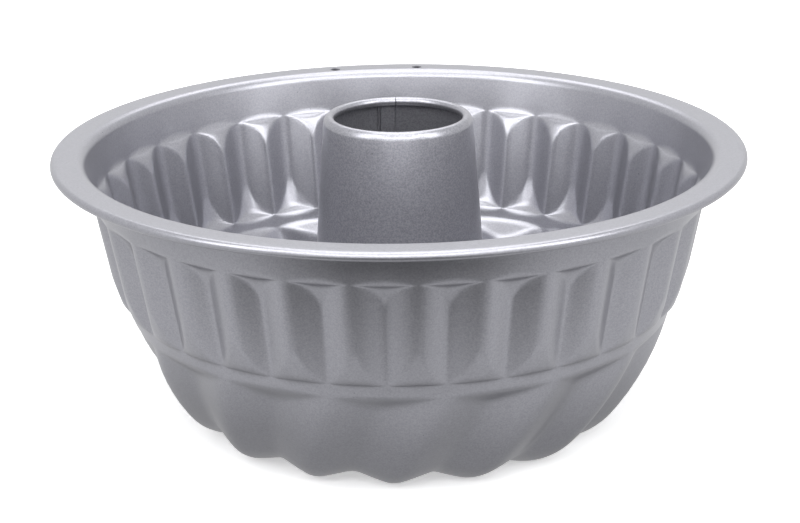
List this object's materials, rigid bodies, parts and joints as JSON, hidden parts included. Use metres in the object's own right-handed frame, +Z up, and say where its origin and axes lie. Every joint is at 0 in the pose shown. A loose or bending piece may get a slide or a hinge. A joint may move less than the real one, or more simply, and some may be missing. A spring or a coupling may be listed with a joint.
{
  "type": "fluted tube pan",
  "caption": "Round cake tin with fluted sides above a swirled base, a hollow centre tube that stands higher than its rolled rim, and hang holes in the flat flange.",
  "frame": {"origin": "centre of the pan on the plane that its lowest ridges stand on", "axes": "+Z up along the tube to its open end, +Y to the side of the flange with the hang holes, -Y to the side that faces the camera in the picture"},
  "size_m": [0.2496, 0.2496, 0.1149],
  "materials": {
    "coated_steel_bowl": "satin silver-grey non-stick coating on steel sheet",
    "coated_steel_tube": "satin silver-grey non-stick coating on steel sheet"
  },
  "bodies": {
    "root": {"fluted_bowl": "coated_steel_bowl", "centre_tube": "coated_steel_tube"}
  },
  "joints": []
}
